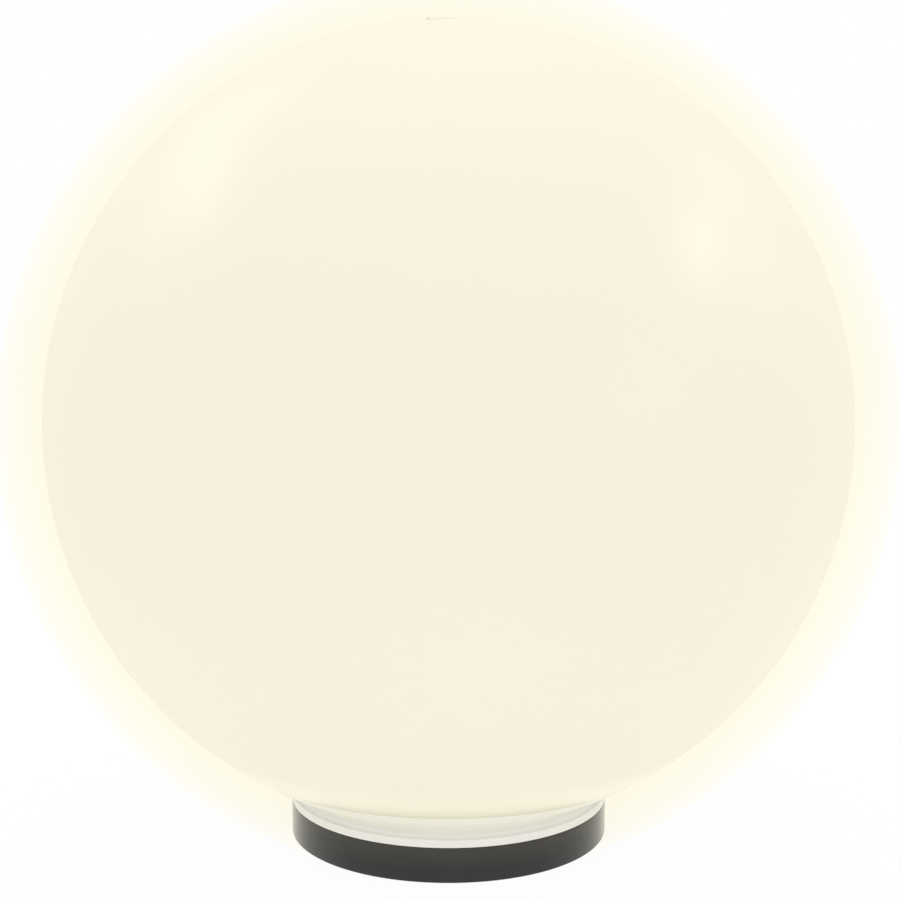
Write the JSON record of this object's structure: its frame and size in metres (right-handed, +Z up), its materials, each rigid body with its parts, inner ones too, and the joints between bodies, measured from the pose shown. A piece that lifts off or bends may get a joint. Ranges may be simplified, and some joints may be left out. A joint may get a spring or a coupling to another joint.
{
  "type": "garden globe light",
  "caption": "Lit opal sphere on a short white neck and a low black base ring, with a twist lock, a lampholder and an LED bulb inside.",
  "frame": {"origin": "centre of the underside of the base ring", "axes": "+Z up through the globe's top, +Y to the back where the cable channel comes out, +X to the right"},
  "size_m": [0.3998, 0.4, 0.4102],
  "materials": {
    "opal_acrylic": "blown opal acrylic, satin to gloss, lit from inside",
    "white_collar": "moulded white plastic, satin",
    "black_base": "moulded black polypropylene, satin",
    "seal_rubber": "black EPDM rubber",
    "white_nylon": "natural nylon, satin",
    "zinc_screw": "zinc plated steel",
    "galvanised_strap": "galvanised sheet steel",
    "porcelain": "glazed white porcelain",
    "nickel_shell": "nickel plated",
    "brass": "plain brass",
    "brown_silicone": "brown silicone insulation",
    "blue_silicone": "blue silicone insulation",
    "tin_contact": "tinned contact",
    "black_insulator": "black insulating glass",
    "bulb_white": "white moulded plastic",
    "bulb_opal": "opal polycarbonate, lit",
    "board_aluminium": "aluminium core board, white mask",
    "led_yellow": "phosphor coated LED chips",
    "green_board": "circuit board with parts"
  },
  "bodies": {
    "base": {"base_housing": "black_base", "base_floor": "black_base", "cable_grommet": "seal_rubber", "cord_clamp": "white_nylon", "clamp_screws": "zinc_screw", "lamp_bracket": "galvanised_strap", "bracket_screws": "zinc_screw", "lampholder_body": "porcelain", "lampholder_shell": "nickel_shell", "centre_contact": "brass", "holder_terminals": "brass", "lampholder_screws": "zinc_screw", "terminal_block": "white_nylon", "terminal_inserts": "brass", "terminal_screws": "zinc_screw", "block_screw": "zinc_screw", "lead_live": "brown_silicone", "lead_neutral": "blue_silicone"},
    "seal": {"neck_seal": "seal_rubber"},
    "globe": {"globe": "opal_acrylic", "globe_cup": "white_collar", "neck_collar": "white_collar"},
    "bulb_foot": {"bulb_contact": "tin_contact"},
    "bulb": {"cap_insulator": "black_insulator", "bulb_cap": "nickel_shell", "bulb_housing": "bulb_white", "bulb_diffuser": "bulb_opal", "led_board": "board_aluminium", "led_chips": "led_yellow", "bulb_driver": "green_board"}
  },
  "joints": [
    {"name": "globe_rise", "type": "slide", "parent": "base", "child": "seal", "axis": [0, 0, 1], "range_m": [0, 0.00226]},
    {"name": "globe_turn", "type": "hinge", "parent": "seal", "child": "globe", "pos_m": [0, 0, 0.0176], "axis": [0, 0, 1], "range_deg": [0, 45]},
    {"name": "bulb_rise", "type": "slide", "parent": "base", "child": "bulb_foot", "axis": [0, 0, 1], "range_m": [0, 0.01815]},
    {"name": "bulb_turn", "type": "hinge", "parent": "bulb_foot", "child": "bulb", "pos_m": [0, 0, 0.0675], "axis": [0, 0, 1], "range_deg": [0, 1800]}
  ],
  "couplings": [
    {"joint": "globe_rise", "follows": "globe_turn", "m_per_rad": 0.0028648},
    {"joint": "bulb_rise", "follows": "bulb_turn", "m_per_rad": 0.0005775}
  ]
}
